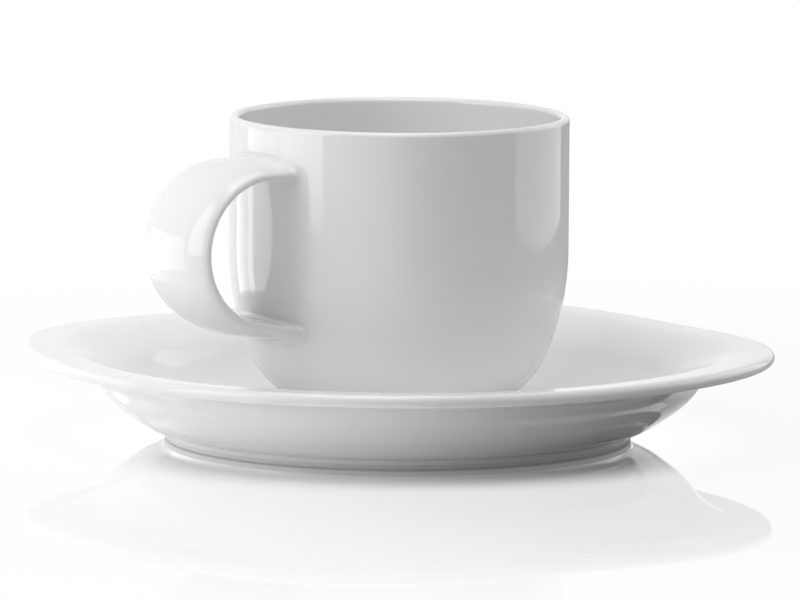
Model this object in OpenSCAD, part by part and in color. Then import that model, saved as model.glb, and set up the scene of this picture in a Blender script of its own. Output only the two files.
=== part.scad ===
// Coffee cup standing on its saucer, in white glazed porcelain.
// The cup is a turned shell with a strap handle joined to its side.
// The saucer is round at its foot and grows into a soft square at its brim.

/* [Cup] */
// Outside diameter of the cup's straight wall
cup_d = 77; // [70:0.5:84]
// Height of the cup from its foot to the top of its lip
cup_h = 69.2; // [63:0.2:80]
// Thickness of the cup's wall
cup_wall = 2.2; // [1.8:0.1:3.2]
// Thickness of the cup's floor
cup_floor = 3; // [2.4:0.1:4]
// Height above the foot at which the straight wall starts to draw in
belly_h = 38.8; // [36:0.2:43]
// Radius of the long curve below the straight wall
belly_r = 63; // [56:1:75]
// Radius of the tighter curve that runs in under the cup
base_r = 21.2; // [19:0.2:24]
// Outside diameter of the cup's foot ring
cup_foot_d = 44; // [40:0.5:48]
// Width of the cup's foot ring
cup_foot_w = 3.2; // [2.6:0.1:4]
// Depth of the hollow under the cup, inside its foot ring
cup_foot_hollow = 2.4; // [1.6:0.1:3]

/* [Handle] */
// Clear height inside the handle's loop
loop_h = 31.6; // [26:0.2:34]
// Clear depth from the cup's wall to the inside of the loop
loop_depth = 20.2; // [18:0.2:24]
// Height of the loop's middle above the cup's foot
loop_mid = 41.9; // [40:0.1:43]
// Width of the strap
strap_w = 25.5; // [18:0.5:27]
// Rise of the strap's crowned outer face above its widest line
crown_t = 3.1; // [2:0.1:3.6]
// Squareness of the outer face, 2 for an ellipse
crown_square = 2; // [2:0.1:4]
// Depth of the strap's flatter inner face below its widest line
inner_t = 1.1; // [0.8:0.1:2]
// Squareness of the inner face, 2 for an ellipse
inner_square = 5; // [2:0.5:6]
// Angle at which the strap's lower end runs down to the wall
strap_droop = 10; // [0:1:14]
// Radius of the fillet where the strap meets the wall
root_r = 1.2; // [0.8:0.1:2.4]

/* [Saucer] */
// Width of the saucer from the middle of one side to the other
saucer_w = 160; // [150:1:176]
// Squareness of the brim's outline, 2 for a circle
saucer_square = 2.5; // [2.1:0.05:3]
// Height of the lip above the table at the middle of a side
saucer_h = 20.4; // [18.5:0.1:22]
// Extra height of the lip at the corners
corner_lift = 0.85; // [0:0.05:1.5]
// Thickness of the saucer
saucer_t = 3; // [2.6:0.1:3.4]
// Width of the brim from the lip to the edge of the well
brim_w = 6.5; // [5:0.5:10]
// Slope of the brim in degrees
brim_slope = 2.5; // [0:0.5:5]
// Height of the well's floor above the table
well_h = 5; // [4.4:0.1:6]
// Radius of the curve from the well's floor up its wall
well_r = 14; // [12:0.5:17]
// Radius of the soft edge between the well and the brim
well_edge_r = 12; // [8:0.5:14]
// Reach from the axis up to which the saucer stays round
round_reach = 60; // [57:0.5:62]
// Reach at which the saucer has grown into its soft square
square_reach = 72; // [68:0.5:76]
// Depth of the round seat for the cup's foot
seat_depth = 0.5; // [0.3:0.1:0.8]
// Gap around the cup's foot in its seat
seat_gap = 1.5; // [0.5:0.1:2.5]
// Outside diameter of the saucer's foot ring
saucer_foot_d = 106; // [90:1:110]
// Width of the saucer's foot ring
saucer_foot_w = 3.6; // [2.8:0.1:5]
// Radius of the blend from the outside of the foot ring into the underside
saucer_foot_blend = 2.2; // [1.6:0.1:2.6]

/* [Edges] */
// Radius of the rounded edges of both foot rings
foot_edge = 0.6; // [0.3:0.1:1]

/* [Hidden] */
$fn = 96;
porcelain = "white";
// A cutting solid or a buried end runs this far past the face that it passes
over = 1;

// Sides of the lofted surfaces, and steps along curves in degrees or millimetres
saucer_sides = 72;
strap_sides = 28;
turn_step = 4;
arc_step = 8;
lip_step = 20;
root_step = 0.8;
// Angle through which the blend outside the foot ring turns before it enters the underside
foot_blend_turn = 60;

// Cup
cup_r = cup_d / 2;
seat_z = well_h - seat_depth;

// Handle, with the loop's centre given by its reach from the axis
loop_reach = cup_r + loop_depth - loop_h / 2;
strap_path_r = loop_h / 2 + inner_t;
strap_end = 90 - strap_droop;
// The fillet stops where it is still this thick, so that it ends in a real edge
root_edge = 0.2;

// Saucer, seen at the middle of one side
half_w = saucer_w / 2;
lip_r = saucer_t / 2;
lip_x = half_w - lip_r;
lip_z = saucer_h - lip_r;
brim_x = half_w - brim_w;
brim_run = lip_x - lip_r * sin(brim_slope) - brim_x;
brim_z = lip_z + lip_r * cos(brim_slope) - brim_run * tan(brim_slope);
// Centre of the edge between the well and the brim
edge_x = brim_x + well_edge_r * sin(brim_slope);
edge_z = brim_z - well_edge_r * cos(brim_slope);
// Centre of the well's curve and the slope at which it meets that edge
well_z = well_h + well_r;
well_slope = acos((well_z - edge_z) / (well_r + well_edge_r));
well_x = edge_x - (well_r + well_edge_r) * sin(well_slope);

// Outline of a soft square with a half width of 1
function soft_square(a, n) = pow(pow(abs(cos(a)), n) + pow(abs(sin(a)), n), -1 / n);

// Values from one end to the other in even steps no longer than a given step
function steps(from, to, step) =
    let (count = max(1, ceil(abs(to - from) / step)))
    [for (i = [0 : count]) from + (to - from) * i / count];

// Points on an arc, in the plane of a section
function arc(x, z, r, from, to, step) =
    [for (a = steps(from, to, step)) [x + r * cos(a), z + r * sin(a)]];

// Smooth rise from 0 at the start to 1 at the end
function eased(value, start, end) =
    let (t = min(1, max(0, (value - start) / (end - start))))
    t * t * (3 - 2 * t);

// Solid through a stack of rings that have the same number of points
module loft(rings) {
    sides = len(rings[0]);
    last = len(rings) - 1;
    points = [for (ring = rings) each ring];
    walls = [for (i = [0 : last - 1], k = [0 : sides - 1])
        let (a = i * sides + k, b = i * sides + (k + 1) % sides)
        each [[a, b, b + sides], [a, b + sides, a + sides]]];
    first_cap = [for (k = [sides - 1 : -1 : 0]) k];
    last_cap = [for (k = [0 : sides - 1]) last * sides + k];
    polyhedron(points, concat([first_cap], walls, [last_cap]));
}

// Section of a foot ring that stands on the base line and has rounded edges
module foot_section(outer_r, width, height) {
    inner_r = outer_r - width;
    translate([inner_r, foot_edge])
        square([width, height - foot_edge]);
    translate([inner_r + foot_edge, 0])
        square([width - 2 * foot_edge, height]);
    for (x = [inner_r + foot_edge, outer_r - foot_edge])
        translate([x, foot_edge])
            circle(foot_edge);
}

// Blend that carries the outside of a foot ring up into the underside around it
module foot_blend_section(outer_r, blend_r, height) {
    curve = arc(outer_r + blend_r, foot_edge, blend_r, 180, 180 - foot_blend_turn, turn_step);
    outer_end = curve[len(curve) - 1];
    start_x = outer_r - foot_edge;
    polygon(concat([[start_x, foot_edge]], curve, [[outer_end[0], height], [start_x, height]]));
}

// Half outline of the cup's form: a round base, the belly and a straight wall
function cup_outline(radius, long_r, short_r, bottom, top) =
    let (
        sweep = asin((belly_h - bottom - short_r) / (long_r - short_r)),
        base_x = radius - long_r + (long_r - short_r) * cos(sweep)
    )
    concat(
        [[0, top], [0, bottom]],
        arc(base_x, bottom + short_r, short_r, -90, -sweep, turn_step),
        arc(radius - long_r, belly_h, long_r, turn_step - sweep, 0, turn_step),
        [[radius, top]]
    );

// Half section of the cup's outside, up to the start of its lip
module cup_outside() {
    polygon(cup_outline(cup_r, belly_r, base_r, cup_foot_hollow, cup_h - cup_wall / 2));
}

// Half section of the space inside the cup
module cup_inside() {
    floor_z = cup_foot_hollow + cup_floor;
    polygon(cup_outline(cup_r - cup_wall, belly_r - cup_wall, base_r - cup_wall, floor_z, cup_h));
}

module cup_body() {
    foot_h = cup_foot_hollow + cup_floor / 2;
    color(porcelain)
        translate([0, 0, seat_z])
            rotate_extrude() {
                difference() {
                    cup_outside();
                    cup_inside();
                }
                translate([cup_r - cup_wall / 2, cup_h - cup_wall / 2])
                    circle(cup_wall / 2);
                foot_section(cup_foot_d / 2, cup_foot_w, foot_h);
            }
}

// Outside radius of the cup at a height above its foot, down to the end of the belly
function wall_r(z) =
    z >= belly_h ? cup_r : cup_r - belly_r + sqrt(pow(belly_r, 2) - pow(belly_h - z, 2));

// Offset of the root fillet at a distance from the wall
function root_fillet(gap) =
    let (rest = root_r - max(gap, root_edge))
    rest <= 0 ? 0 : root_r - sqrt(pow(root_r, 2) - pow(rest, 2));

// Reach at which an end of the strap is buried in the wall over its whole width
function buried_reach(z) =
    sqrt(pow(wall_r(z), 2) - pow(strap_w / 2 + root_r, 2)) - over;

// Widest line of the strap as [reach, height above the foot, angle of the outer face]
function strap_path() =
    let (
        top_z = loop_mid + strap_path_r,
        end_x = loop_reach + strap_path_r * cos(strap_end),
        end_z = loop_mid - strap_path_r * sin(strap_end),
        low_wall_z = end_z - (end_x - cup_r) * tan(strap_droop),
        low_x = buried_reach(low_wall_z - crown_t - root_r)
    )
    concat(
        [for (x = steps(buried_reach(top_z), loop_reach, root_step)) [x, top_z, 90]],
        [for (p = arc(0, 0, 1, 90 - arc_step, arc_step - strap_end, arc_step))
            [loop_reach + strap_path_r * p[0], loop_mid + strap_path_r * p[1], atan2(p[1], p[0])]],
        [for (x = steps(end_x, low_x, root_step))
            [x, end_z - (end_x - x) * tan(strap_droop), -strap_end]]
    );

// One ring of the strap, flared by the fillet where it comes close to the wall
function strap_ring(station) = [for (k = [0 : strap_sides - 1])
    let (
        a = 360 * k / strap_sides,
        crowned = sin(a) >= 0,
        grow = soft_square(a, crowned ? crown_square : inner_square),
        side = strap_w / 2 * grow * cos(a),
        face = (crowned ? crown_t : inner_t) * grow * sin(a),
        reach = station[0] + face * cos(station[2]),
        height = station[1] + face * sin(station[2]),
        flare = root_fillet(norm([reach, side]) - wall_r(height)),
        wide_side = side + flare * cos(a),
        wide_face = face + flare * sin(a)
    )
    [
        -(station[0] + wide_face * cos(station[2])),
        wide_side,
        station[1] + wide_face * sin(station[2])
    ]];

module cup_handle() {
    color(porcelain)
        translate([0, 0, seat_z])
            difference() {
                loft([for (station = strap_path()) strap_ring(station)]);
                rotate_extrude()
                    cup_outside();
            }
}

// Section of the saucer from its floor out over the brim, round the lip and back below
function saucer_section() = concat(
    arc(well_x, well_z, well_r, -90, well_slope - 90, arc_step),
    arc(edge_x, edge_z, well_edge_r, 90 + well_slope - arc_step, 90 + brim_slope, arc_step),
    arc(lip_x, lip_z, lip_r, 90 + brim_slope, brim_slope - 90, lip_step),
    arc(edge_x, edge_z, well_edge_r - saucer_t, 90 + brim_slope, 90 + well_slope, lip_step),
    arc(well_x, well_z, well_r + saucer_t, well_slope - 90 - arc_step, -90, arc_step)
);

// One ring of the saucer, round over the foot and a soft square at the lip
function saucer_ring(point) =
    let (
        share = eased(point[0], round_reach, square_reach),
        square_n = 2 + (saucer_square - 2) * share,
        corner = soft_square(45, saucer_square) - 1
    )
    [for (k = [0 : saucer_sides - 1])
        let (
            a = 360 * k / saucer_sides,
            grow = soft_square(a, square_n),
            lift = corner_lift * share * (grow - 1) / corner
        )
        [point[0] * grow * cos(a), point[0] * grow * sin(a), point[1] + lift]];

module saucer() {
    seat_r = cup_foot_d / 2 + seat_gap;
    foot_h = well_h - saucer_t / 2;
    color(porcelain)
        difference() {
            union() {
                loft([for (point = saucer_section()) saucer_ring(point)]);
                rotate_extrude() {
                    foot_section(saucer_foot_d / 2, saucer_foot_w, foot_h);
                    foot_blend_section(saucer_foot_d / 2, saucer_foot_blend, foot_h);
                }
            }
            translate([0, 0, seat_z])
                cylinder(r = seat_r, h = seat_depth + over);
        }
}

saucer();
cup_body();
cup_handle();
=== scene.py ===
"""White porcelain coffee cup on its saucer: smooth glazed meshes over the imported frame, in a bright studio.

Lengths are millimetres, measured from the table or from the cup's foot, until a mesh, a light or the camera
is made of them.
"""

import logging
import math
from collections.abc import Mapping
from dataclasses import dataclass
from enum import Enum
from typing import Any

import bmesh
import bpy
import numpy as np
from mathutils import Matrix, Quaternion, Vector


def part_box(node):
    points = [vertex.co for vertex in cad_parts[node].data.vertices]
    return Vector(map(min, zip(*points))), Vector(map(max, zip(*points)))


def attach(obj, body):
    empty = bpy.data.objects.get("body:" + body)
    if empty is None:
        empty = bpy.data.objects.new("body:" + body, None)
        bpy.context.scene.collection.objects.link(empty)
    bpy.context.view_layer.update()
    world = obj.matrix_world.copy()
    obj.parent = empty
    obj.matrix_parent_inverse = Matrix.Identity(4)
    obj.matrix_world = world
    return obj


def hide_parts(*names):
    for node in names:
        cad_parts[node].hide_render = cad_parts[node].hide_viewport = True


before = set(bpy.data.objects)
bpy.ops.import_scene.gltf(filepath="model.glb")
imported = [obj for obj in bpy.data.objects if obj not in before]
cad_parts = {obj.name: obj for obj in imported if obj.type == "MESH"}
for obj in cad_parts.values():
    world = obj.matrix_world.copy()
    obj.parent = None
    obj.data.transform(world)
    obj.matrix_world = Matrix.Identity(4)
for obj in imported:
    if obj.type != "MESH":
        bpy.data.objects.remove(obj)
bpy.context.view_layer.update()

LOG = logging.getLogger("coffee_cup")
MM = 0.001
IMAGE_W = 800
SENSOR_W = 36.0
THIN_GLAZE = "thin_glaze"
WHITE = "FFFFFF"
# Sockets of a mix node that mixes colours
MIX_A, MIX_B, MIX_OUT = 6, 7, 2
# Reach of a section's first and last point, inside which a fan closes the mesh
POLE_R = 0.4


class Node(str, Enum):
    """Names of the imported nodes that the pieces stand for."""

    SAUCER = "saucer"
    BODY = "cup_body"
    HANDLE = "cup_handle"


class Body(str, Enum):
    """Names of the bodies that the pieces ride on."""

    SAUCER = "saucer"
    CUP = "cup"


class Slot(str, Enum):
    """Names of the record's material slots."""

    SAUCER = "saucer_glaze"
    CUP = "cup_glaze"
    HANDLE = "handle_glaze"


def linear(hex_colour: str) -> tuple[float, float, float, float]:
    """Turns an sRGB hex colour into linear light.

    Args:
        hex_colour: Six hex digits, red first.

    Returns:
        Red, green, blue and an alpha of 1.
    """
    shares = [int(hex_colour[i : i + 2], 16) / 255 for i in (0, 2, 4)]
    return (*[s / 12.92 if s <= 0.04045 else ((s + 0.055) / 1.055) ** 2.4 for s in shares], 1.0)


def add_node(
    tree: bpy.types.NodeTree, kind: str, inputs: Mapping[str | int, Any] | None = None, **settings: Any
) -> bpy.types.Node:
    """Adds a node with its settings, and sets or links its inputs.

    Args:
        tree: The node tree that gets the node.
        kind: The node's type name.
        inputs: A value, or an output socket to link, for each named or numbered input.
        **settings: The node's own properties.

    Returns:
        The new node.
    """
    node = tree.nodes.new(kind)
    for name, value in settings.items():
        setattr(node, name, value)
    for name, value in (inputs or {}).items():
        if isinstance(value, bpy.types.NodeSocket):
            tree.links.new(value, node.inputs[name])
        else:
            node.inputs[name].default_value = value
    return node


def empty_material(name: str) -> tuple[bpy.types.Material, bpy.types.NodeTree]:
    """Makes a node material with no nodes in it.

    Args:
        name: The material's name.

    Returns:
        The material and its node tree.
    """
    material = bpy.data.materials.new(name)
    material.use_nodes = True
    material.node_tree.nodes.clear()
    return material, material.node_tree


def arc(centre: tuple[float, float], radius: float, start: float, end: float, count: int) -> np.ndarray:
    """Points on an arc of a section.

    Args:
        centre: Reach and height of the arc's centre.
        radius: The arc's radius.
        start: Angle of the first point in degrees, from the outward direction.
        end: Angle of the last point in degrees.
        count: Number of steps.

    Returns:
        Rows of reach and height.
    """
    turn = np.radians(np.linspace(start, end, count + 1))
    return np.column_stack([centre[0] + radius * np.cos(turn), centre[1] + radius * np.sin(turn)])


def straight(start: tuple[float, float], end: tuple[float, float], count: int) -> np.ndarray:
    """Points on a straight run of a section.

    Args:
        start: Reach and height of the first point.
        end: Reach and height of the last point.
        count: Number of steps.

    Returns:
        Rows of reach and height.
    """
    return np.linspace(start, end, count + 1)


def eased(
    start: tuple[float, float], corner: tuple[float, float], end: tuple[float, float], count: int
) -> np.ndarray:
    """Points on a soft corner of a section, which glaze rounds off.

    Args:
        start: Point where the corner starts to turn.
        corner: Point where the two runs would meet.
        end: Point where the turn ends.
        count: Number of steps.

    Returns:
        Rows of reach and height.
    """
    t = np.linspace(0, 1, count + 1)[:, None]
    return (1 - t) ** 2 * np.array(start) + 2 * t * (1 - t) * np.array(corner) + t**2 * np.array(end)


def joined(*runs: np.ndarray) -> np.ndarray:
    """Joins the runs of a section and drops the points that they share.

    Args:
        *runs: Rows of reach and height, end to end.

    Returns:
        Rows of reach and height.
    """
    points = np.vstack(runs)
    apart = np.linalg.norm(np.diff(points, axis=0), axis=1) > 1e-6
    return points[np.concatenate([[True], apart])]


def soft_square(turn: np.ndarray, power: np.ndarray | float) -> np.ndarray:
    """Outline of a soft square with a half width of 1.

    Args:
        turn: Angles in radians.
        power: Squareness, 2 for a circle.

    Returns:
        The outline's reach at each angle.
    """
    return (np.abs(np.cos(turn)) ** power + np.abs(np.sin(turn)) ** power) ** (-1 / power)


def fade(value: np.ndarray, start: float, end: float) -> np.ndarray:
    """Rises smoothly from 0 at start to 1 at end."""
    t = np.clip((value - start) / (end - start), 0, 1)
    return t * t * (3 - 2 * t)


def ring_mesh(
    name: str, rings: np.ndarray, thin: np.ndarray, bare: np.ndarray | None = None
) -> bpy.types.Object:
    """Builds a closed smooth mesh through a stack of rings, with a fan at each end.

    Args:
        name: Name of the piece.
        rings: Points of every ring in millimetres, rings by sides by 3.
        thin: How thin the glaze is at every point, from 0 to 1.
        bare: Whether each ring is ground bare of glaze, which takes the second material.

    Returns:
        The new object, linked to the scene.
    """
    count, sides = rings.shape[:2]
    ends = rings[[0, -1]].mean(axis=1)
    points = np.vstack([rings.reshape(-1, 3), ends]) * MM
    steps = np.arange(sides)
    after = (steps + 1) % sides
    faces: list[tuple[int, ...]] = []
    for i in range(count - 1):
        low, high = i * sides, (i + 1) * sides
        faces += [(low + a, low + b, high + b, high + a) for a, b in zip(steps, after)]
    first, last = count * sides, count * sides + 1
    faces += [(first, b, a) for a, b in zip(steps, after)]
    faces += [(last, (count - 1) * sides + a, (count - 1) * sides + b) for a, b in zip(steps, after)]

    mesh = bpy.data.meshes.new(name)
    mesh.from_pydata(points.tolist(), [], [tuple(int(v) for v in face) for face in faces])
    work = bmesh.new()
    work.from_mesh(mesh)
    bmesh.ops.recalc_face_normals(work, faces=work.faces)
    work.to_mesh(mesh)
    work.free()
    mesh.polygons.foreach_set("use_smooth", np.ones(len(mesh.polygons), bool))
    values = np.concatenate([thin.ravel(), np.zeros(2)]).astype(np.float32)
    mesh.attributes.new(THIN_GLAZE, "FLOAT", "POINT").data.foreach_set("value", values)
    if bare is not None:
        ground = np.zeros(len(mesh.polygons), np.int32)
        ground[: (count - 1) * sides] = np.repeat(bare[:-1] & bare[1:], sides)
        mesh.polygons.foreach_set("material_index", ground)
    mesh.update()
    piece = bpy.data.objects.new(name, mesh)
    bpy.context.scene.collection.objects.link(piece)
    return piece


def set_in_place(
    piece: bpy.types.Object, node: Node, body: Body, slot: Slot, *finishes: bpy.types.Material
) -> None:
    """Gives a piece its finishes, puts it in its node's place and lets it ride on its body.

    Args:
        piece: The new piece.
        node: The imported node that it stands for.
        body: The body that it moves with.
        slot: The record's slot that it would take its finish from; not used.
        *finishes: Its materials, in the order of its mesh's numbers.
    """
    for finish in finishes:
        piece.data.materials.append(finish)
    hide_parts(node.value)
    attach(piece, body.value)
    LOG.info("%s: %d points, rides on %s", piece.name, len(piece.data.vertices), body.value)


@dataclass(frozen=True)
class GlazedPorcelain:
    """White hard-paste porcelain, fired under a clear glaze that was poured on.

    The glaze levels itself in the kiln, so it mirrors lamps with sharp edges, and only a long faint swell in
    it bends them. It draws thin over edges, where the clay below shows a trace greyer and warmer.
    """

    name: str
    colour: str = "EFEFEF"
    deep_colour: str = "EDEDED"
    thin_colour: str = "EBEBEA"
    ior: float = 1.5
    roughness: tuple[float, float] = (0.045, 0.075)
    swell_mm: float = 16.0
    swell_height_mm: float = 0.02
    cloud_mm: float = 28.0
    translucence: float = 0.12
    translucence_mm: float = 1.6

    def make(self) -> bpy.types.Material:
        """Builds the node material."""
        material, tree = empty_material(self.name)
        place = add_node(tree, "ShaderNodeTexCoord").outputs["Object"]
        swell = add_node(
            tree, "ShaderNodeTexNoise", {"Vector": place, "Scale": 1 / (self.swell_mm * MM), "Detail": 1.0}
        )
        cloud = add_node(
            tree, "ShaderNodeTexNoise", {"Vector": place, "Scale": 1 / (self.cloud_mm * MM), "Detail": 2.0}
        )
        clouded = add_node(
            tree,
            "ShaderNodeMix",
            {"Factor": cloud.outputs["Fac"], MIX_A: linear(self.colour), MIX_B: linear(self.deep_colour)},
            data_type="RGBA",
        )
        thinned = add_node(tree, "ShaderNodeAttribute", attribute_name=THIN_GLAZE)
        tinted = add_node(
            tree,
            "ShaderNodeMix",
            {
                "Factor": thinned.outputs["Fac"],
                MIX_A: clouded.outputs[MIX_OUT],
                MIX_B: linear(self.thin_colour),
            },
            data_type="RGBA",
        )
        gloss = add_node(
            tree,
            "ShaderNodeMapRange",
            {"Value": cloud.outputs["Fac"], "To Min": self.roughness[0], "To Max": self.roughness[1]},
        )
        bump = add_node(
            tree,
            "ShaderNodeBump",
            {"Strength": 1.0, "Distance": self.swell_height_mm * MM, "Height": swell.outputs["Fac"]},
        )
        shader = add_node(
            tree,
            "ShaderNodeBsdfPrincipled",
            {
                "Base Color": tinted.outputs[MIX_OUT],
                "Roughness": gloss.outputs["Result"],
                "IOR": self.ior,
                "Normal": bump.outputs["Normal"],
                "Subsurface Weight": self.translucence,
                "Subsurface Radius": (1.0, 1.0, 1.0),
                "Subsurface Scale": self.translucence_mm * MM,
            },
        )
        add_node(tree, "ShaderNodeOutputMaterial", {"Surface": shader.outputs["BSDF"]})
        return material


@dataclass(frozen=True)
class GroundPorcelain:
    """Bare porcelain of a foot ring, wiped clean of glaze before firing and ground flat after it.

    The wiped sides stay matt, and the grinding leaves fine grit. It is coloured a little greyer than the
    glazed body: partly the bare clay, and partly painted shade for the dark foot where it meets the table.
    """

    name: str = "bare_porcelain_painted_foot_shade"
    # Greyer than the glaze: partly bare clay, partly painted shade at the foot
    colour: str = "DADAD9"
    grit_colour: str = "CECECC"
    ior: float = 1.5
    roughness: float = 0.62
    grit_mm: float = 0.35
    grit_height_mm: float = 0.012

    def make(self) -> bpy.types.Material:
        """Builds the node material."""
        material, tree = empty_material(self.name)
        place = add_node(tree, "ShaderNodeTexCoord").outputs["Object"]
        grit = add_node(
            tree, "ShaderNodeTexNoise", {"Vector": place, "Scale": 1 / (self.grit_mm * MM), "Detail": 3.0}
        )
        speckled = add_node(
            tree,
            "ShaderNodeMix",
            {"Factor": grit.outputs["Fac"], MIX_A: linear(self.colour), MIX_B: linear(self.grit_colour)},
            data_type="RGBA",
        )
        bump = add_node(
            tree,
            "ShaderNodeBump",
            {"Strength": 1.0, "Distance": self.grit_height_mm * MM, "Height": grit.outputs["Fac"]},
        )
        shader = add_node(
            tree,
            "ShaderNodeBsdfPrincipled",
            {
                "Base Color": speckled.outputs[MIX_OUT],
                "Roughness": self.roughness,
                "IOR": self.ior,
                "Normal": bump.outputs["Normal"],
            },
        )
        add_node(tree, "ShaderNodeOutputMaterial", {"Surface": shader.outputs["BSDF"]})
        return material


@dataclass
class Cup:
    """The cup's turned body: a straight wall over a rounded base and a foot ring.

    Heights are measured from the foot, and the foot stands at seat_z.
    """

    outer_r: float
    height: float
    seat_z: float
    wall: float = 2.2
    floor: float = 3.0
    belly_h: float = 38.8
    belly_r: float = 63.0
    base_r: float = 21.2
    foot_r: float = 22.0
    foot_w: float = 3.2
    foot_hollow: float = 2.4
    foot_edge: float = 0.6
    foot_root: float = 0.7
    bare_h: float = 0.65
    sides: int = 288

    @classmethod
    def from_frame(cls) -> "Cup":
        """Takes the cup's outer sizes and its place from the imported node."""
        low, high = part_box(Node.BODY.value)
        return cls(outer_r=high.x / MM, height=(high.z - low.z) / MM, seat_z=low.z / MM)

    def wall_reach(self, height: np.ndarray) -> np.ndarray:
        """Outside reach of the wall at heights down to the end of the belly."""
        below = np.clip(self.belly_h - height, 0, None)
        return self.outer_r - self.belly_r + np.sqrt(self.belly_r**2 - below**2)

    def flank(self, inset: float, bottom: float) -> np.ndarray:
        """One face of the wall, from its round base up to the start of the lip.

        Args:
            inset: Depth of the face below the outside.
            bottom: Height of the face at its lowest.

        Returns:
            Rows of reach and height.
        """
        reach, long_r, short_r = self.outer_r - inset, self.belly_r - inset, self.base_r - inset
        sweep = math.degrees(math.asin((self.belly_h - bottom - short_r) / (long_r - short_r)))
        base_x = reach - long_r + (long_r - short_r) * math.cos(math.radians(sweep))
        return joined(
            arc((base_x, bottom + short_r), short_r, -90, -sweep, 40),
            arc((reach - long_r, self.belly_h), long_r, -sweep, 0, 32),
            straight((reach, self.belly_h), (reach, self.height - self.wall / 2), 24),
        )

    def profile(self) -> np.ndarray:
        """Section of the body, from the middle of its underside round the lip to its floor's middle."""
        inner_foot = self.foot_r - self.foot_w
        edge, root = self.foot_edge, self.foot_root
        under = self.flank(0, self.foot_hollow)
        hidden = under[under[:, 0] < inner_foot - root]
        outside = under[under[:, 0] > self.foot_r + root]
        foot_top = np.interp([inner_foot, self.foot_r], under[:, 0], under[:, 1])
        floor_z = self.foot_hollow + self.floor
        inside = self.flank(self.wall, floor_z)[::-1]
        lip_r = self.wall / 2
        return joined(
            straight((POLE_R, self.foot_hollow), tuple(hidden[0]), 10),
            hidden,
            eased(tuple(hidden[-1]), (inner_foot, foot_top[0]), (inner_foot, edge), 6),
            arc((inner_foot + edge, edge), edge, 180, 270, 8),
            straight((inner_foot + edge, 0), (self.foot_r - edge, 0), 4),
            arc((self.foot_r - edge, edge), edge, 270, 360, 8),
            eased((self.foot_r, foot_top[1] - root), (self.foot_r, foot_top[1]), tuple(outside[0]), 8),
            outside,
            arc((self.outer_r - lip_r, self.height - lip_r), lip_r, 0, 180, 28),
            inside,
            straight(tuple(inside[-1]), (POLE_R, floor_z), 10),
        )

    def build(self) -> bpy.types.Object:
        """Builds the body as a fine revolved mesh."""
        section = self.profile()
        turn = np.linspace(0, 2 * np.pi, self.sides, endpoint=False)
        rings = np.empty((len(section), self.sides, 3))
        rings[..., 0] = section[:, :1] * np.cos(turn)
        rings[..., 1] = section[:, :1] * np.sin(turn)
        rings[..., 2] = self.seat_z + section[:, 1:]
        lip = fade(section[:, 1], self.height - self.wall, self.height)
        foot = fade(-section[:, 1], -2 * self.foot_edge, 0)
        thin = np.repeat(np.maximum(lip, foot)[:, None], self.sides, axis=1)
        return ring_mesh("cup_wall", rings, thin, bare=section[:, 1] < self.bare_h)

    def dress(self, piece: bpy.types.Object, bare: bpy.types.Material) -> None:
        """Glazes the body down to its bare foot, and lets it ride with the cup."""
        glaze = GlazedPorcelain("cup_glazed_porcelain").make()
        set_in_place(piece, Node.BODY, Body.CUP, Slot.CUP, glaze, bare)


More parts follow.
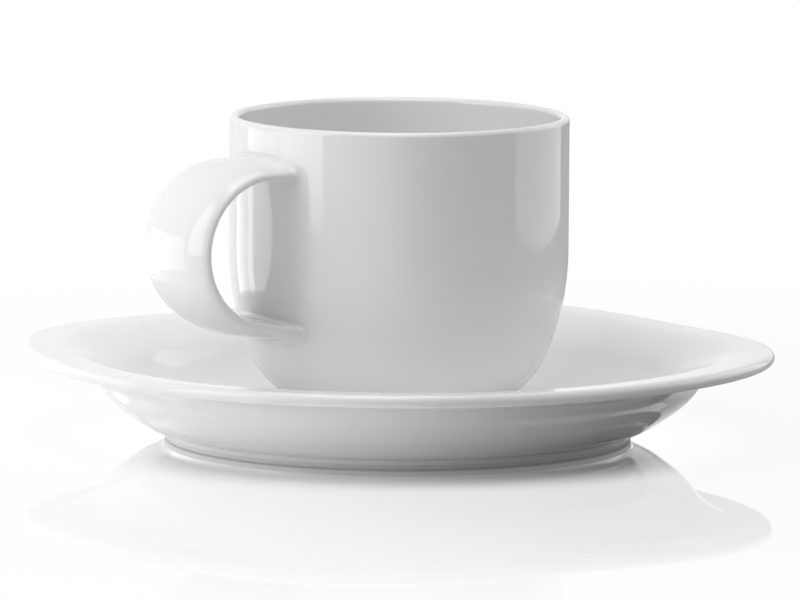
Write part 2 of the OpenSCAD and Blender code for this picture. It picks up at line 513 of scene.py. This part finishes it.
@dataclass
class Handle:
    """The strap handle: a crowned strap bent to a loop, with a small fillet where each end meets the wall.

    The strap's path is the loop of its widest line, with the crown outside it and the flatter face inside.
    Each end's fillet is laid out from the wall, so that it runs into the wall at a tangent.
    """

    cup: Cup
    loop_depth: float
    loop_h: float = 31.6
    loop_mid: float = 41.9
    strap_w: float = 25.5
    crown_t: float = 3.1
    crown_square: float = 2.0
    inner_t: float = 1.1
    inner_square: float = 5.0
    droop: float = 10.0
    root_r: float = 1.2
    sunk: float = 0.06
    edge_share: float = 0.4
    loop_rings: int = 90
    run_rings: int = 6
    fillet_rings: int = 15
    halvings: int = 50
    sides: int = 96

    @classmethod
    def from_frame(cls, cup: Cup) -> "Handle":
        """Takes the loop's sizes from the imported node, which the strap goes round.

        Args:
            cup: The cup that it joins.

        Returns:
            The handle.
        """
        low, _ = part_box(Node.HANDLE.value)
        depth = -low.x / MM - cup.outer_r - cls.crown_t - cls.inner_t
        return cls(cup=cup, loop_depth=depth)

    def section(self) -> tuple[np.ndarray, np.ndarray, np.ndarray]:
        """The strap's section, two half ellipses of different squareness.

        Returns:
            Each point's place across the strap, its place through the strap, and its outward direction.
        """
        turn = np.linspace(0, 2 * np.pi, self.sides, endpoint=False)
        crowned = np.sin(turn) >= 0
        power = np.where(crowned, self.crown_square, self.inner_square)
        half = np.column_stack([
            np.full(self.sides, self.strap_w / 2), np.where(crowned, self.crown_t, self.inner_t)
        ])
        share = soft_square(turn, power)[:, None] * np.column_stack([np.cos(turn), np.sin(turn)])
        out = np.sign(share) * np.abs(share) ** (power - 1)[:, None] / half
        out /= np.linalg.norm(out, axis=1, keepdims=True)
        return half[:, 0] * share[:, 0], half[:, 1] * share[:, 1], out

    def build(self) -> bpy.types.Object:
        """Builds the strap as a mesh of rings along its path."""
        side, face, out = self.section()
        path_r = self.loop_h / 2 + self.inner_t
        centre = np.array([self.cup.outer_r + self.loop_depth - self.loop_h / 2, self.loop_mid])
        last = self.droop - 90
        top_end = self.root_rings(side, face, out, centre + [0, path_r], 90.0)
        low_end = self.root_rings(side, face, out, centre + path_r * self.bearing(last), last)
        rings = list(top_end)
        rings += self.run(rings[-1], self.ring(side, face, centre + [0, path_r], 90.0), self.run_rings)
        for angle in np.linspace(90, last, self.loop_rings)[1:]:
            rings.append(self.ring(side, face, centre + path_r * self.bearing(angle), angle))
        rings += self.run(rings[-1], low_end[-1], self.run_rings)[:-1]
        rings += low_end[::-1]
        placed = np.array(rings) + [0, 0, self.cup.seat_z]
        edge = fade(np.abs(side), self.edge_share * self.strap_w, self.strap_w / 2)
        return ring_mesh("cup_strap_handle", placed, np.repeat(edge[None, :], len(placed), axis=0))

    def dress(self, piece: bpy.types.Object) -> None:
        """Glazes the strap all over, and lets it ride with the cup."""
        glaze = GlazedPorcelain("handle_glazed_porcelain").make()
        set_in_place(piece, Node.HANDLE, Body.CUP, Slot.HANDLE, glaze)

    @staticmethod
    def bearing(angle: float) -> np.ndarray:
        """Unit vector in the handle's plane at an angle in degrees."""
        return np.array([math.cos(math.radians(angle)), math.sin(math.radians(angle))])

    def ring(self, side: np.ndarray, face: np.ndarray, middle: np.ndarray, angle: float) -> np.ndarray:
        """One ring of the strap.

        Args:
            side: Place of each point across the strap.
            face: Place of each point through the strap.
            middle: Reach and height of the strap's middle line there.
            angle: Direction of the outer face in degrees.

        Returns:
            The ring's points, with the handle towards -X.
        """
        plane = middle + face[:, None] * self.bearing(angle)
        return np.column_stack([-plane[:, 0], side, plane[:, 1]])

    @staticmethod
    def run(start: np.ndarray, end: np.ndarray, count: int) -> list[np.ndarray]:
        """Rings on the straight way from one ring to another, without the first."""
        return [start + (end - start) * i / count for i in range(1, count + 1)]

    def root_rings(
        self, side: np.ndarray, face: np.ndarray, out: np.ndarray, middle: np.ndarray, angle: float
    ) -> list[np.ndarray]:
        """Rings of one end's fillet, from inside the wall out to the plain strap.

        Args:
            side: Place of each point across the strap.
            face: Place of each point through the strap.
            out: Outward direction of each point in the strap's section.
            middle: A point on the middle line beyond the fillet.
            angle: Direction of the strap's outer face at this end, in degrees.

        Returns:
            Rings of points, with the handle towards -X.
        """
        to_wall = self.bearing(angle + 90 if angle > 0 else angle - 90)
        rings = []
        for i, turn in enumerate(np.radians(np.linspace(90, 0, self.fillet_rings))):
            sunk = self.sunk if i == 0 else 0.0
            gap = self.root_r * (1 - math.sin(turn)) - sunk
            flare = self.root_r * (1 - math.cos(turn))
            wide_side, wide_face = side + flare * out[:, 0], face + flare * out[:, 1]
            rings.append(self.slid_to_wall(wide_side, wide_face, middle, angle, to_wall, gap))
        return rings

    def slid_to_wall(
        self,
        side: np.ndarray,
        face: np.ndarray,
        middle: np.ndarray,
        angle: float,
        to_wall: np.ndarray,
        gap: float,
    ) -> np.ndarray:
        """Slides each point of a ring along the strap until it is a given distance from the wall.

        Args:
            side: Place of each point across the strap.
            face: Place of each point through the strap.
            middle: A point on the strap's middle line.
            angle: Direction of the strap's outer face in degrees.
            to_wall: Direction along the strap, towards the wall.
            gap: Distance from the wall.

        Returns:
            The ring's points, with the handle towards -X.
        """
        start = middle + face[:, None] * self.bearing(angle)
        near, far = np.zeros(len(side)), np.full(len(side), self.cup.outer_r)
        for _ in range(self.halvings):
            half = (near + far) / 2
            spot = start + half[:, None] * to_wall
            clear = np.hypot(spot[:, 0], side) - self.cup.wall_reach(spot[:, 1]) > gap
            near, far = np.where(clear, half, near), np.where(clear, far, half)
        spot = start + near[:, None] * to_wall
        return np.column_stack([-spot[:, 0], side, spot[:, 1]])


@dataclass
class Saucer:
    """The saucer: round at its foot and well, growing into a soft square at its lip."""

    width: float
    corner_h: float
    thickness: float = 3.0
    square: float = 2.5
    corner_lift: float = 0.85
    brim_w: float = 6.5
    brim_slope: float = 2.5
    well_h: float = 5.0
    well_r: float = 14.0
    well_edge_r: float = 12.0
    round_reach: float = 60.0
    square_reach: float = 72.0
    seat_r: float = 23.5
    seat_depth: float = 0.5
    seat_ease: float = 0.8
    seat_lean: float = 0.1
    foot_r: float = 53.0
    foot_w: float = 3.6
    foot_edge: float = 0.6
    foot_root: float = 1.2
    foot_blend: float = 2.2
    blend_below: float = 0.05
    blend_apart: float = 0.5
    # The bare band reaches up the foot's face, so its greyer colour also paints shade there
    bare_h: float = 1.3
    sides: int = 312

    @classmethod
    def from_frame(cls) -> "Saucer":
        """Takes the saucer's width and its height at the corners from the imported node."""
        low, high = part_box(Node.SAUCER.value)
        return cls(width=(high.x - low.x) / MM, corner_h=(high.z - low.z) / MM)

    def profile(self) -> np.ndarray:
        """Section at the middle of a side, from the seat out over the brim and back below to the middle."""
        slope, half = math.radians(self.brim_slope), self.width / 2
        lip_r = self.thickness / 2
        lip = (half - lip_r, self.corner_h - self.corner_lift - lip_r)
        brim_x = half - self.brim_w
        brim_run = lip[0] - lip_r * math.sin(slope) - brim_x
        brim_z = lip[1] + lip_r * math.cos(slope) - brim_run * math.tan(slope)
        edge = (brim_x + self.well_edge_r * math.sin(slope), brim_z - self.well_edge_r * math.cos(slope))
        well_z = self.well_h + self.well_r
        steep = math.degrees(math.acos((well_z - edge[1]) / (self.well_r + self.well_edge_r)))
        well = (edge[0] - (self.well_r + self.well_edge_r) * math.sin(math.radians(steep)), well_z)
        return joined(self.seat(well[0]), self.top(well, edge, lip, steep), self.underside(well, steep))

    def seat(self, well_x: float) -> np.ndarray:
        """The round seat for the cup's foot and the flat floor of the well."""
        seat_z, ease, lean = self.well_h - self.seat_depth, self.seat_ease, self.seat_lean
        mid = (self.seat_r, self.well_h - self.seat_depth / 2)
        return joined(
            straight((POLE_R, seat_z), (self.seat_r - ease, seat_z), 16),
            eased((self.seat_r - ease, seat_z), (self.seat_r - lean, seat_z), mid, 8),
            eased(mid, (self.seat_r + lean, self.well_h), (self.seat_r + ease, self.well_h), 8),
            straight((self.seat_r + ease, self.well_h), (well_x, self.well_h), 20),
        )

    def top(
        self, well: tuple[float, float], edge: tuple[float, float], lip: tuple[float, float], steep: float
    ) -> np.ndarray:
        """The well's curve, its edge, the brim, the lip and the underside of the brim.

        Args:
            well: Centre of the well's curve.
            edge: Centre of the edge between the well and the brim.
            lip: Centre of the lip.
            steep: Slope in degrees at which the well meets its edge.

        Returns:
            Rows of reach and height.
        """
        inner_edge_r = self.well_edge_r - self.thickness
        lip_top = arc(lip, self.thickness / 2, 90 + self.brim_slope, self.brim_slope - 90, 28)
        rim_top = arc(edge, self.well_edge_r, 90 + steep, 90 + self.brim_slope, 24)
        rim_below = arc(edge, inner_edge_r, 90 + self.brim_slope, 90 + steep, 16)
        return joined(
            arc(well, self.well_r, -90, steep - 90, 40),
            rim_top,
            straight(tuple(rim_top[-1]), tuple(lip_top[0]), 8),
            lip_top,
            straight(tuple(lip_top[-1]), tuple(rim_below[0]), 8),
            rim_below,
        )

    def underside(self, well: tuple[float, float], steep: float) -> np.ndarray:
        """The underside below the well, the blend into the foot ring, the ring and the floor inside it.

        Args:
            well: Centre of the well's curve.
            steep: Slope in degrees at which the well meets its edge.

        Returns:
            Rows of reach and height.
        """
        outer_r = self.well_r + self.thickness
        blend = arc((self.foot_r + self.foot_blend, self.foot_edge), self.foot_blend, 60, 180, 48)
        bowl = arc(well, outer_r, steep - 90, -90, 80)
        bowl_z = np.interp(blend[:, 0], bowl[::-1, 0], bowl[::-1, 1])
        # The blend stops just below the bowl, and the bowl just outside the blend, so the corner stays soft
        below = blend[:, 1] < bowl_z - self.blend_below
        blend = blend[below & (blend[:, 0] < self.foot_r + self.foot_blend)]
        bowl = bowl[bowl[:, 0] > blend[0, 0] + self.blend_apart]
        inner_foot, edge, root = self.foot_r - self.foot_w, self.foot_edge, self.foot_root
        floor_z = self.well_h - self.thickness
        return joined(
            bowl,
            blend,
            arc((self.foot_r - edge, edge), edge, 0, -90, 8),
            straight((self.foot_r - edge, 0), (inner_foot + edge, 0), 4),
            arc((inner_foot + edge, edge), edge, 270, 180, 8),
            eased((inner_foot, floor_z - root), (inner_foot, floor_z), (inner_foot - root, floor_z), 10),
            straight((inner_foot - root, floor_z), (POLE_R, floor_z), 24),
        )

    def build(self) -> bpy.types.Object:
        """Builds the saucer as a fine mesh of rings that turn from round to square."""
        section = self.profile()
        turn = np.linspace(0, 2 * np.pi, self.sides, endpoint=False)
        share = fade(section[:, :1], self.round_reach, self.square_reach)
        grow = soft_square(turn, 2 + (self.square - 2) * share)
        corner = soft_square(np.array(math.pi / 4), self.square) - 1
        rings = np.empty((len(section), self.sides, 3))
        rings[..., 0] = section[:, :1] * grow * np.cos(turn)
        rings[..., 1] = section[:, :1] * grow * np.sin(turn)
        rings[..., 2] = section[:, 1:] + self.corner_lift * share * (grow - 1) / corner
        lip = fade(section[:, 0], self.width / 2 - self.thickness, self.width / 2)
        foot = fade(-section[:, 1], -2 * self.foot_edge, 0)
        thin = np.repeat(np.maximum(lip, foot)[:, None], self.sides, axis=1)
        return ring_mesh("saucer_shell", rings, thin, bare=section[:, 1] < self.bare_h)

    def dress(self, piece: bpy.types.Object, bare: bpy.types.Material) -> None:
        """Glazes the saucer down to its bare foot, and lets it ride on its own body."""
        glaze = GlazedPorcelain("saucer_glazed_porcelain").make()
        set_in_place(piece, Node.SAUCER, Body.SAUCER, Slot.SAUCER, glaze, bare)


@dataclass(frozen=True)
class Softbox:
    """A lamp with a flat bright face, placed as seen from the camera.

    right, near and up are the middle of its face from the middle of the saucer's foot, aim_h is the height
    on the cup's axis that it faces, and glow is how bright it looks in a mirror.
    """

    name: str
    right: float
    near: float
    up: float
    aim_h: float
    width: float
    height: float
    glow: float

    def light(self, camera_azimuth: float) -> None:
        """Makes the lamp and turns its face towards the cup's axis.

        Args:
            camera_azimuth: The camera's azimuth in degrees.
        """
        a = math.radians(camera_azimuth)
        rightward, nearward = Vector((math.cos(a), math.sin(a), 0)), Vector((math.sin(a), -math.cos(a), 0))
        lamp = bpy.data.lights.new(self.name, "AREA")
        lamp.shape = "RECTANGLE"
        lamp.size, lamp.size_y = self.width * MM, self.height * MM
        lamp.energy = self.glow * math.pi * lamp.size * lamp.size_y
        obj = bpy.data.objects.new(self.name, lamp)
        middle = rightward * self.right + nearward * self.near + Vector((0, 0, self.up))
        obj.rotation_mode = "QUATERNION"
        obj.rotation_quaternion = (Vector((0, 0, self.aim_h)) - middle).to_track_quat("-Z", "Y")
        obj.location = middle * MM
        obj.visible_camera = False
        bpy.context.scene.collection.objects.link(obj)


@dataclass(frozen=True)
class Studio:
    """A bright studio: a glossy table top that runs on behind the cup, softboxes and white surroundings.

    The two floor colours are the sheet's colours on the key lamp's side and, painted darker as painted shade,
    on the other side, and floor_turn says from where to where it turns, to the right of the cup's axis. The
    veil is the share of plain white over the sheet, and the mirrors are the shares that it mirrors, each at
    both ends of its reach from that axis.
    """

    floor_r: float = 3000.0
    floor_sides: int = 96
    # Painted shade: the second colour darkens the sheet away from the key lamp, standing in for the key light
    # falling off there
    floor_painted_shade_colours: tuple[str, str] = ("F4F4F4", "ACACAC")
    floor_turn: tuple[float, float] = (-20.0, 80.0)
    floor_roughness: float = 0.02
    veil: tuple[float, float] = (0.92, 1.0)
    veil_reach: tuple[float, float] = (60.0, 350.0)
    contact_mirror: tuple[float, float] = (0.68, 0.0)
    contact_reach: tuple[float, float] = (60.0, 88.0)
    far_mirror: tuple[float, float] = (0.25, 0.0)
    far_reach: tuple[float, float] = (100.0, 300.0)
    ambient: float = 0.19
    lamps: tuple[Softbox, ...] = (
        Softbox("key_softbox", right=-417, near=170, up=268, aim_h=268, width=279, height=536, glow=2.15),
        Softbox("top_softbox", right=0, near=0, up=720, aim_h=0, width=500, height=500, glow=2.1),
        Softbox("front_softbox", right=-60, near=220, up=720, aim_h=0, width=420, height=420, glow=1.5),
        Softbox("high_softbox", right=60, near=620, up=620, aim_h=20, width=520, height=520, glow=0.9),
        Softbox("fill_card", right=376, near=-137, up=160, aim_h=160, width=420, height=320, glow=1.1),
        Softbox("left_strip", right=-153, near=-16, up=32, aim_h=32, width=90, height=60, glow=1.4),
        Softbox("back_strip", right=-130, near=-68, up=24, aim_h=24, width=65, height=44, glow=1.6),
    )

    def build(self, camera_azimuth: float) -> None:
        """Makes the floor, the surroundings and the lamps.

        Args:
            camera_azimuth: The camera's azimuth in degrees, which the lamps are placed by.
        """
        self.floor(camera_azimuth)
        self.surroundings()
        for lamp in self.lamps:
            lamp.light(camera_azimuth)
            LOG.info("%s: lit", lamp.name)

    def floor(self, camera_azimuth: float) -> None:
        """Makes the table top, which is seen under a white veil and still takes shadows.

        Args:
            camera_azimuth: The camera's azimuth in degrees, which the painted shade on its sheet is laid by.
        """
        mesh = bpy.data.meshes.new("table_top")
        work = bmesh.new()
        bmesh.ops.create_circle(work, cap_ends=True, segments=self.floor_sides, radius=self.floor_r * MM)
        work.to_mesh(mesh)
        work.free()
        top = bpy.data.objects.new("table_top", mesh)
        top.rotation_euler.z = math.radians(camera_azimuth)
        bpy.context.scene.collection.objects.link(top)
        mesh.materials.append(self.floor_material())

    def floor_material(self) -> bpy.types.Material:
        """Cast acrylic sheet, polished: it mirrors what stands on it, and turns to plain white further away.

        The veil over it is white to the camera. Where gloss or glass shows it, the veil has the sheet's
        colour, which is painted darker away from the key lamp as painted shade.
        As a source of light it is a matt sheet of that painted colour, so it bounces less light away from the
        key lamp, with its mirror's share on top.
        """
        material, tree = empty_material("polished_acrylic_painted_shade")
        place = add_node(tree, "ShaderNodeTexCoord").outputs["Object"]
        away = add_node(tree, "ShaderNodeVectorMath", {0: place}, operation="LENGTH").outputs["Value"]
        right = add_node(tree, "ShaderNodeSeparateXYZ", {"Vector": place}).outputs["X"]
        lit = self.over_reach(tree, right, self.floor_turn, (1.0, 0.0))
        # Painted shade: the sheet is graded darker away from the key lamp, both as seen in gloss and as a
        # source of bounce light
        key_colour, far_painted_shade_colour = self.floor_painted_shade_colours
        painted_floor_shade = add_node(
            tree,
            "ShaderNodeMix",
            {"Factor": lit, MIX_A: linear(far_painted_shade_colour), MIX_B: linear(key_colour)},
            data_type="RGBA",
        ).outputs[MIX_OUT]
        close = self.over_reach(tree, away, self.contact_reach, self.contact_mirror)
        far = self.over_reach(tree, away, self.far_reach, self.far_mirror)
        mirror = add_node(tree, "ShaderNodeMath", {0: close, 1: far}, operation="ADD")

        camera = add_node(tree, "ShaderNodeLightPath").outputs["Is Camera Ray"]
        seen = self.seen(tree)
        veil = self.over_reach(tree, away, self.veil_reach, self.veil)
        veil_seen = add_node(tree, "ShaderNodeMath", {0: seen, 1: veil}, operation="MULTIPLY")
        # In gloss the veil shows the sheet's painted shade; to the camera it is plain white
        veil_colour = add_node(
            tree,
            "ShaderNodeMix",
            {"Factor": camera, MIX_A: painted_floor_shade, MIX_B: linear(WHITE)},
            data_type="RGBA",
        ).outputs[MIX_OUT]
        matt = add_node(tree, "ShaderNodeBsdfDiffuse", {"Color": painted_floor_shade})
        white = add_node(tree, "ShaderNodeEmission", {"Color": veil_colour, "Strength": 1.0})
        veiled = add_node(
            tree,
            "ShaderNodeMixShader",
            {0: veil_seen.outputs["Value"], 1: matt.outputs["BSDF"], 2: white.outputs["Emission"]},
        )

        # The mirror is seen whole. As a source of light it is painted black away from the key lamp, a painted
        # shade, so it throws light on the object from the key lamp's side alone
        thrown = add_node(tree, "ShaderNodeMath", {0: seen, 1: lit}, operation="MAXIMUM")
        gloss = add_node(
            tree,
            "ShaderNodeBsdfGlossy",
            {"Color": thrown.outputs["Value"], "Roughness": self.floor_roughness},
        )
        polished = add_node(
            tree,
            "ShaderNodeMixShader",
            {0: mirror.outputs["Value"], 1: veiled.outputs["Shader"], 2: gloss.outputs["BSDF"]},
        )
        add_node(tree, "ShaderNodeOutputMaterial", {"Surface": polished.outputs["Shader"]})
        return material

    @staticmethod
    def over_reach(
        tree: bpy.types.NodeTree,
        place: bpy.types.NodeSocket,
        reach: tuple[float, float],
        values: tuple[float, float],
    ) -> bpy.types.NodeSocket:
        """A value that changes smoothly from one place on the floor to another.

        Args:
            tree: The node tree that gets the node.
            place: The distance from the cup's axis, or the place to the right of it, in metres.
            reach: Places at which the change starts and ends, in millimetres.
            values: The values at the start and at the end.

        Returns:
            The value's socket.
        """
        ramp = add_node(
            tree,
            "ShaderNodeMapRange",
            {
                "Value": place,
                "From Min": reach[0] * MM,
                "From Max": reach[1] * MM,
                "To Min": values[0],
                "To Max": values[1],
            },
            interpolation_type="SMOOTHSTEP",
        )
        return ramp.outputs["Result"]

    @staticmethod
    def seen(tree: bpy.types.NodeTree) -> bpy.types.NodeSocket:
        """A socket that is 1 for what is seen, straight or in gloss or glass, and 0 for light that falls.

        Args:
            tree: The node tree that gets the nodes.

        Returns:
            The socket.
        """
        rays = add_node(tree, "ShaderNodeLightPath").outputs
        straight_or_gloss = add_node(
            tree,
            "ShaderNodeMath",
            {0: rays["Is Camera Ray"], 1: rays["Is Glossy Ray"]},
            operation="MAXIMUM",
        )
        shown = add_node(
            tree,
            "ShaderNodeMath",
            {0: straight_or_gloss.outputs["Value"], 1: rays["Is Transmission Ray"]},
            operation="MAXIMUM",
        )
        return shown.outputs["Value"]

    def surroundings(self) -> None:
        """Makes the world: white where it is seen or mirrored, and dimmer as light on the object."""
        world = bpy.data.worlds.new("white_studio")
        bpy.context.scene.world = world
        world.use_nodes = True
        tree = world.node_tree
        tree.nodes.clear()
        strength = add_node(
            tree, "ShaderNodeMapRange", {"Value": self.seen(tree), "To Min": self.ambient, "To Max": 1.0}
        )
        sky = add_node(
            tree,
            "ShaderNodeBackground",
            {"Color": linear(WHITE), "Strength": strength.outputs["Result"]},
        )
        add_node(tree, "ShaderNodeOutputWorld", {"Surface": sky.outputs["Background"]})


@dataclass(frozen=True)
class PhotoCamera:
    """A long lens at the photograph's viewing angle.

    The lens is given by its focal length in pixels of the photograph, and the aim by the point in the
    picture's middle: its height on the cup's axis and its place to the right of it. clip_m is in metres.
    """

    azimuth: float = -34.5
    elevation: float = 8.15
    distance: float = 2178.0
    focal_px: float = 9580.0
    aim_h: float = 31.4
    aim_right: float = 0.35
    roll: float = 0.35
    clip_m: tuple[float, float] = (0.05, 20.0)

    def place(self) -> None:
        """Makes the camera and hands it to the scene."""
        a, e = math.radians(self.azimuth), math.radians(self.elevation)
        back = Vector((math.sin(a) * math.cos(e), -math.cos(a) * math.cos(e), math.sin(e)))
        rightward = Vector((math.cos(a), math.sin(a), 0))
        spot = back * self.distance
        aim = rightward * self.aim_right + Vector((0, 0, self.aim_h))
        lens = bpy.data.cameras.new("photo_camera")
        lens.sensor_width = SENSOR_W
        lens.lens = SENSOR_W * self.focal_px / IMAGE_W
        lens.clip_start, lens.clip_end = self.clip_m
        camera = bpy.data.objects.new("photo_camera", lens)
        camera.location = spot * MM
        camera.rotation_mode = "QUATERNION"
        turn = (aim - spot).to_track_quat("-Z", "Y")
        camera.rotation_quaternion = turn @ Quaternion((0, 0, 1), math.radians(self.roll))
        bpy.context.scene.collection.objects.link(camera)
        bpy.context.scene.camera = camera


def main() -> None:
    """Builds the camera and the studio, then the saucer, the cup and its handle."""
    logging.basicConfig(level=logging.INFO, format="%(message)s")
    bpy.context.scene.view_settings.view_transform = "Standard"
    view = PhotoCamera()
    view.place()
    Studio().build(view.azimuth)

    bare = GroundPorcelain().make()
    saucer = Saucer.from_frame()
    saucer.dress(saucer.build(), bare)
    cup = Cup.from_frame()
    cup.dress(cup.build(), bare)
    handle = Handle.from_frame(cup)
    handle.dress(handle.build())


if __name__ == "__main__":
    main()
